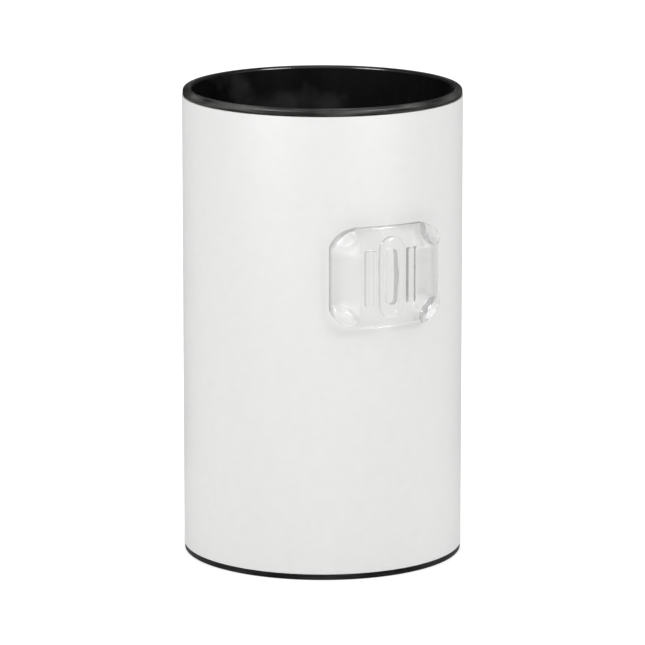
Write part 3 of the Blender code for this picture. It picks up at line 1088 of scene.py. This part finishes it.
class BUILD_OT_blanket(bpy.types.Operator):
    """Folds and rolls the glass cloth as one sheet, with its hems"""

    bl_idname = "canister.build_blanket"
    bl_label = "Blanket"

    def execute(self, context):
        settings = context.scene.blanket
        noise.seed_set(ROLL_SEED)
        roll = Roll(settings)
        steps = round(math.degrees(roll.turns) / 5)
        loops = [self.folds(settings, roll, roll.turns * part) for part in shares(steps, 0)]
        along = self.profile_lengths(settings, roll)
        shape = lofted(
            loops,
            ring=False,
            uv=lambda row, number: (settings.side * row / steps, along[number]),
        )
        finish = cached("glass_cloth", glass_cloth, settings)
        cloth = hand_over("blanket", shape, "blanket_roll", "blanket", finish)
        wall = cloth.modifiers.new("cloth", "SOLIDIFY")
        wall.thickness = settings.cloth
        wall.offset = 0
        hems = self.hems(settings, roll, finish)
        return {"FINISHED"}

    def folds(self, settings, roll, turn):
        """The cloth's section at an angle: layers side by side, joined at bottom and top."""
        bend = settings.layer_pitch / 2
        edge = settings.cloth / 2
        x, y = math.cos(roll.end - turn), math.sin(roll.end - turn)
        points = []
        for layer in range(settings.layers):
            offset = layer * settings.layer_pitch
            ripple = noise.noise(Vector((x * 2.2, y * 2.2, layer * 1.7 + turn)))
            lift = noise.noise(Vector((x * 2, y * 2, 9 + layer * 1.3)))
            top = roll.top - edge - (1 + ripple) * TOP_RIPPLE
            bottom = roll.bottom + edge + bend + (1 + lift) * FOOT_RIPPLE
            rows = [top + (bottom - top) * part for part in shares(5, 0)]
            if layer % 2:
                rows.reverse()
            points += [roll.spot(turn, offset, z) for z in rows]
            if layer < settings.layers - 1:
                sign = 1 if layer % 2 else -1
                for part in shares(4)[:-1]:
                    swing = math.pi * part
                    out = offset + bend - bend * math.cos(swing)
                    points.append(roll.spot(turn, out, rows[-1] + sign * bend * math.sin(swing)))
        return points

    def profile_lengths(self, settings, roll):
        """How far along the cloth each point of the section lies."""
        section = [Vector(point) for point in self.folds(settings, roll, 0)]
        lengths = [0.0]
        for first, second in zip(section, section[1:]):
            lengths.append(lengths[-1] + (second - first).length)
        return lengths

    def hems(self, settings, roll, finish):
        """The sewn hems that show: round the top of the outer layer and down the roll's end."""
        hem = settings.hem
        thick = HEM_THICKNESS
        under = roll.stack + settings.cloth / 2 + HEM_GAP
        face = under + thick
        width = hem / roll.outer
        top = roll.top - HEM_DROP
        spans = {
            "top_hem": (FULL_TURN * 0.97, top - hem, top),
            "end_hem": (width, roll.bottom + 2.0 * MM, top - hem - 0.2 * MM),
        }
        made = []
        for name, (end, low, high) in spans.items():
            count = max(3, round(math.degrees(end) / 3))
            section = ((under, low), (under, high), (face, high - thick), (face, low + thick))
            loops = [[roll.spot(end * part, r, z) for r, z in section] for part in shares(count, 0)]
            shape = lofted(
                loops, caps=True, uv=lambda row, number: (row * 2 * MM, number % 4 * hem / 2)
            )
            made.append(hand_over(name, shape, None, "blanket", finish))
        line = top - hem * 0.8
        advance = settings.stitch + settings.stitch_gap
        rows = []
        turn = width * 1.3
        while turn < FULL_TURN * 0.95:
            after = turn + settings.stitch / roll.outer
            rows.append((roll.spot(turn, face, line), roll.spot(after, face, line)))
            turn += advance / roll.outer
        turn = width * 0.8
        z = roll.bottom + 5 * MM
        while z < top - hem * 1.2:
            rows.append((roll.spot(turn, face, z), roll.spot(turn, face, z + settings.stitch)))
            z += advance
        shape = stitches(rows, 0.22 * MM)
        thread = cached("sewing_thread", sewing_thread, settings)
        made.append(hand_over("hem_stitching", shape, None, "blanket", thread))
        return made


def stitches(rows, radius):
    """Short threads between pairs of points, each a slim spindle."""
    shape = bmesh.new()
    for first, second in rows:
        first, second = Vector(first), Vector(second)
        along = second - first
        made = bmesh.ops.create_icosphere(shape, subdivisions=1, radius=1)["verts"]
        bmesh.ops.scale(shape, verts=made, vec=(radius, radius, along.length / 2 + radius / 2))
        turn = Vector((0, 0, 1)).rotation_difference(along).to_matrix()
        bmesh.ops.rotate(shape, verts=made, cent=(0, 0, 0), matrix=turn)
        bmesh.ops.translate(shape, verts=made, vec=(first + second) / 2)
    return shape


# The pull tapes


class TapeRoute:
    """The middle line of a tape: up the roll, over its edge, out to a loop and back. The side is
    -1 for the tape on the outside of the roll and 1 for the one in its middle."""

    def __init__(self, settings, name, side):
        tail_low, tail_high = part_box(f"{name}_tape_tail")
        loop_low, loop_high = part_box(f"{name}_pull_tape")
        self.side = side
        self.width = settings.tape_width
        self.thick = settings.tape_thickness
        self.tail_bottom = tail_low.z
        self.lower = loop_low.z + self.thick / 2
        self.upper = self.lower + self.thick * LOOP_SPREAD
        self.wrap = (-tail_low.x if side < 0 else tail_high.x) - self.thick / 2
        self.root = side * self.wrap
        self.tip = loop_high.x

    def points(self):
        """(x, z, wrapped share) along the tape. The share is 1 where it follows the round roll."""
        rise = self.lower - TAPE_BEND
        start = self.root + TAPE_BEND
        half = self.thick * LOOP_SPREAD / 2
        end = self.tip - half - self.thick / 2
        back = start + LOOP_BACK
        found = []
        for part in shares(14, 0):
            wrapped = 1 - 0.4 * max(0.0, (part - 0.85) / 0.15)
            found.append((self.root, self.tail_bottom + (rise - self.tail_bottom) * part, wrapped))
        for part in shares(6):
            turn = math.radians(90 * part)
            x = self.root + TAPE_BEND * (1 - math.cos(turn))
            found.append((x, rise + TAPE_BEND * math.sin(turn), 0.6 * (1 - part)))
        found += [(start + (end - start) * part, self.lower, 0.0) for part in shares(18)]
        for x, z in arc((end, self.lower + half), half, -90, 90, 8)[1:-1]:
            found.append((x, z, 0.0))
        found += [(end + (back - end) * part, self.upper, 0.0) for part in shares(16)]
        return found

    def place(self, x, across, wrapped):
        """Where a point at a distance from the middle line lies, wrapped round the roll or flat."""
        turn = across / self.wrap
        round_x = self.side * self.wrap * math.cos(turn) + x - self.root
        round_y = self.wrap * math.sin(turn)
        return x + (round_x - x) * wrapped, across + (round_y - across) * wrapped


def tape_section(width, thick):
    """A webbing's section: across and out, with soft edges."""
    half = width / 2
    lip = thick / 2
    flat = half - lip * 0.6
    points = [(flat, -lip), (half - lip * 0.15, -lip * 0.55), (half, 0)]
    points += [(across, -out) for across, out in reversed(points[:2])]
    across_steps = [flat * part for part in (0.6, 0.2, -0.2, -0.6)]
    points += [(across, lip) for across in across_steps]
    points += [(-across, -out) for across, out in points[:5]]
    points += [(-across, -lip) for across in across_steps]
    return points


class BUILD_OT_tapes(bpy.types.Operator):
    """Weaves the two pull tapes, each sewn to the roll and folded into a loop"""

    bl_idname = "canister.build_tapes"
    bl_label = "Pull tapes"

    def execute(self, context):
        settings = context.scene.blanket
        finish = cached("webbing", webbing, settings)
        thread = cached("sewing_thread", sewing_thread, settings)
        for name, side in (("outer", -1), ("inner", 1)):
            route = TapeRoute(settings, name, side)
            self.make_tape(route, name, finish)
            if side < 0:
                self.sew_tail(settings, route, thread)
            self.sew_loop(settings, route, name, thread)
        return {"FINISHED"}

    def make_tape(self, route, name, finish):
        """One tape, from its sewn tail to the end of its loop."""
        middle = route.points()
        section = tape_section(route.width, route.thick)
        loops = []
        run = [0.0]
        for number, (x, z, wrapped) in enumerate(middle):
            before = middle[max(0, number - 1)]
            after = middle[min(len(middle) - 1, number + 1)]
            along = Vector((after[0] - before[0], after[1] - before[1])).normalized()
            if number:
                run.append(run[-1] + math.hypot(x - before[0], z - before[1]))
            points = []
            for across, out in section:
                px, py = route.place(x - along.y * out, across, wrapped)
                points.append((px, py, z + along.x * out))
            loops.append(points)
        girth = [0.0]
        for first, second in zip(section, section[1:] + section[:1]):
            girth.append(girth[-1] + math.dist(first, second))
        shape = lofted(loops, caps=True, uv=lambda row, spot: (girth[spot], run[row]))
        tail = f"{name}_tape_tail"
        piece = hand_over(f"{name}_tape", shape, tail, None, finish, TAPE_SHARP)
        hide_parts(f"{name}_pull_tape")
        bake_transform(piece)

    def sew_tail(self, settings, route, thread):
        """The boxed cross that holds the outer tape's tail."""
        face = route.wrap + route.thick / 2
        half = route.width / 2 - SEAM_MARGIN
        low = route.tail_bottom + 3 * MM
        high = low + 2 * half
        corners = [(-half, low), (half, low), (half, high), (-half, high)]
        lines = list(zip(corners, corners[1:] + corners[:1]))
        rows = []
        for ends in lines + [(corners[0], corners[2]), (corners[1], corners[3])]:
            for pair in self.dashes(settings, *ends):
                rows.append(
                    [(-face * math.cos(a / face), face * math.sin(a / face), z) for a, z in pair]
                )
        shape = stitches(rows, 0.24 * MM)
        hand_over("outer_tail_stitching", shape, None, "blanket", thread)

    def sew_loop(self, settings, route, name, thread):
        """The two bars of stitches across a loop."""
        top = route.upper + route.thick / 2
        half = route.width / 2 - SEAM_MARGIN
        rows = []
        for offset in (5.2 * MM, 7.0 * MM):
            x = route.root + offset
            for pair in self.dashes(settings, (-half, x), (half, x)):
                rows.append([(spot.y, spot.x, top) for spot in pair])
        shape = stitches(rows, 0.24 * MM)
        hand_over(f"{name}_loop_stitching", shape, None, f"{name}_tape", thread)

    def dashes(self, settings, first, second):
        """Stitches along a straight line between two flat points."""
        first, second = Vector(first), Vector(second)
        advance = settings.stitch + settings.stitch_gap
        count = max(1, int((second - first).length / advance))
        found = []
        for number in range(count):
            ends = (number / count, (number + settings.stitch / advance) / count)
            found.append([first.lerp(second, part) for part in ends])
        return found


# The stage


class BUILD_OT_camera(bpy.types.Operator):
    """Sets up the camera in front of the canister, looking down a little"""

    bl_idname = "canister.build_camera"
    bl_label = "Camera"

    def execute(self, context):
        settings = context.scene.studio
        data = bpy.data.cameras.new("camera")
        data.sensor_width = 36
        data.lens = settings.lens
        data.clip_start = 0.05
        data.clip_end = 50
        camera = bpy.data.objects.new("camera", data)
        camera.location = (0, -settings.distance, settings.camera_height)
        camera.rotation_euler = (math.pi / 2 - settings.pitch, 0, 0)
        context.scene.collection.objects.link(camera)
        context.scene.camera = camera
        return {"FINISHED"}


class BUILD_OT_stage(bpy.types.Operator):
    """Lays the pale floor and sets the soft lights round the canister"""

    bl_idname = "canister.build_stage"
    bl_label = "Stage"

    def execute(self, context):
        settings = context.scene.studio
        shape = bmesh.new()
        bmesh.ops.create_circle(shape, cap_ends=True, segments=96, radius=settings.floor_radius)
        bmesh.ops.translate(shape, verts=shape.verts, vec=(0, 0, cad_low.z - FLOOR_GAP))
        ground = linked("floor_sheet", shape, floor_paint(settings))
        for light in LIGHTS:
            self.add_light(*light)
        self.add_band(settings)
        world = bpy.data.worlds.new("studio")
        world.use_nodes = True
        backdrop = world.node_tree.nodes["Background"]
        backdrop.inputs["Color"].default_value = (1.0, 1.0, 1.0, 1)
        backdrop.inputs["Strength"].default_value = settings.surround
        context.scene.world = world
        context.scene.view_settings.view_transform = "Standard"
        return {"FINISHED"}

    def add_band(self, settings):
        """A black band round the back, which only gloss mirrors."""
        shape = bmesh.new()
        bottom = cad_low.z
        heights = (bottom + MM, bottom + settings.band_height)
        verts, edges = drawn(shape, [(0, settings.band_radius, z) for z in heights], False)
        sweep = settings.band_sweep
        turn = Matrix.Rotation(-sweep, 3, "Z")
        bmesh.ops.rotate(shape, verts=verts, cent=(0, 0, 0), matrix=turn)
        spun(shape, verts + edges, 2 * sweep, 36)
        band = linked("black_band", shape, black_card())
        band.visible_camera = False
        band.visible_diffuse = False
        band.visible_transmission = False
        band.visible_shadow = False

    def add_light(self, name, place, size, power, plain):
        """A square soft light that faces the canister's middle. One that isn't plain is there for
        gloss only."""
        data = bpy.data.lights.new(name, "AREA")
        data.shape = "SQUARE"
        data.size = size
        data.energy = power
        light = bpy.data.objects.new(name, data)
        light.location = place
        light.rotation_euler = (LIT_SPOT - Vector(place)).to_track_quat("-Z", "Y").to_euler()
        light.visible_camera = False
        light.visible_diffuse = plain
        light.visible_transmission = plain
        bpy.context.scene.collection.objects.link(light)


class CANISTER_PT_panel(bpy.types.Panel):
    """Lists the pieces to build"""

    bl_idname = "CANISTER_PT_panel"
    bl_label = "Fire blanket canister"
    bl_space_type = "VIEW_3D"
    bl_region_type = "UI"
    bl_category = "Canister"

    def draw(self, context):
        for builder in BUILDERS:
            self.layout.operator(builder.bl_idname)
        for group in SETTINGS:
            box = self.layout.box()
            settings = getattr(context.scene, group)
            for name in SETTINGS[group].__annotations__:
                box.prop(settings, name)


BUILDERS = (
    BUILD_OT_camera,
    BUILD_OT_sleeve,
    BUILD_OT_rim,
    BUILD_OT_liner,
    BUILD_OT_base,
    BUILD_OT_board,
    BUILD_OT_bracket,
    BUILD_OT_blanket,
    BUILD_OT_tapes,
    BUILD_OT_stage,
)
SETTINGS = {
    "canister": CanisterSettings,
    "bracket": BracketSettings,
    "blanket": BlanketSettings,
    "studio": StageSettings,
}


def register():
    for kind in (*SETTINGS.values(), *BUILDERS, CANISTER_PT_panel):
        bpy.utils.register_class(kind)
    for name, kind in SETTINGS.items():
        setattr(bpy.types.Scene, name, PointerProperty(type=kind))


def unregister():
    for name in SETTINGS:
        delattr(bpy.types.Scene, name)
    for kind in (CANISTER_PT_panel, *reversed(BUILDERS), *reversed(SETTINGS.values())):
        bpy.utils.unregister_class(kind)


def main():
    register()
    for builder in BUILDERS:
        group, name = builder.bl_idname.split(".")
        getattr(getattr(bpy.ops, group), name)()


if __name__ == "__main__":
    main()
